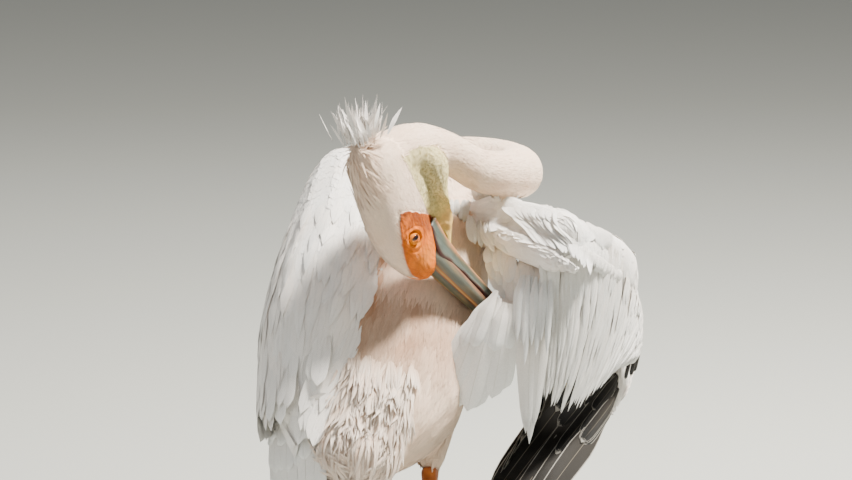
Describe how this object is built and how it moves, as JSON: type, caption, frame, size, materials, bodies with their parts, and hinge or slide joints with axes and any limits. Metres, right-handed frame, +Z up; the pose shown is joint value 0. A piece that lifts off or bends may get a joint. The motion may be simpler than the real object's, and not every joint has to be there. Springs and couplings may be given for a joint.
{
  "type": "great white pelican",
  "caption": "Life-size great white pelican standing and preening, neck thrown round to its right, head curled down and bill tucked under the lifted right wing.",
  "frame": {"origin": "on the floor, under the middle of the bird's outline seen from above", "axes": "+Z up, -Y the way the trunk faces, +X the bird's own left"},
  "size_m": [0.4864, 0.588, 0.6499],
  "materials": {
    "plumage_white": "matte, cool white wing and tail feathers",
    "plumage_rosy": "matte, rosy white velvet of head, neck and body",
    "plumage_flight": "satin, black flight feathers with brown-grey vanes",
    "gular_skin": "satin, bare yellow pouch skin",
    "leg_skin": "satin, bare orange-brown leg and foot skin",
    "bill_horn": "satin, blue-grey horn with yellow and pink stripes",
    "claw_horn": "satin horn",
    "eye_gloss": "wet gloss, dark brown"
  },
  "bodies": {
    "root": {"trunk": "plumage_rosy", "neck_lower": "plumage_rosy", "neck_bend": "plumage_rosy", "neck_upper": "plumage_rosy", "head": "plumage_rosy", "crest": "plumage_white", "eye_left": "eye_gloss", "eye_right": "eye_gloss", "upper_bill": "bill_horn", "lower_bill": "bill_horn", "pouch": "gular_skin", "right_upper_arm": "plumage_white", "right_forearm": "plumage_white", "right_hand": "plumage_white", "right_patagium": "plumage_white", "right_shoulder_coverts": "plumage_white", "right_inner_coverts": "plumage_white", "right_wing_coverts": "plumage_white", "right_tertials": "plumage_white", "right_long_tertial": "plumage_white", "right_secondaries": "plumage_flight", "right_primaries": "plumage_flight", "left_folded_wing": "plumage_white", "left_tertials": "plumage_white", "left_primaries": "plumage_flight", "tail": "plumage_white", "right_thigh": "plumage_rosy", "right_shank": "leg_skin", "right_foot": "leg_skin", "right_claw_hind": "claw_horn", "right_claw_inner": "claw_horn", "right_claw_middle": "claw_horn", "right_claw_outer": "claw_horn", "left_thigh": "plumage_rosy", "left_shank": "leg_skin", "left_foot": "leg_skin", "left_claw_hind": "claw_horn", "left_claw_inner": "claw_horn", "left_claw_middle": "claw_horn", "left_claw_outer": "claw_horn"}
  },
  "joints": []
}
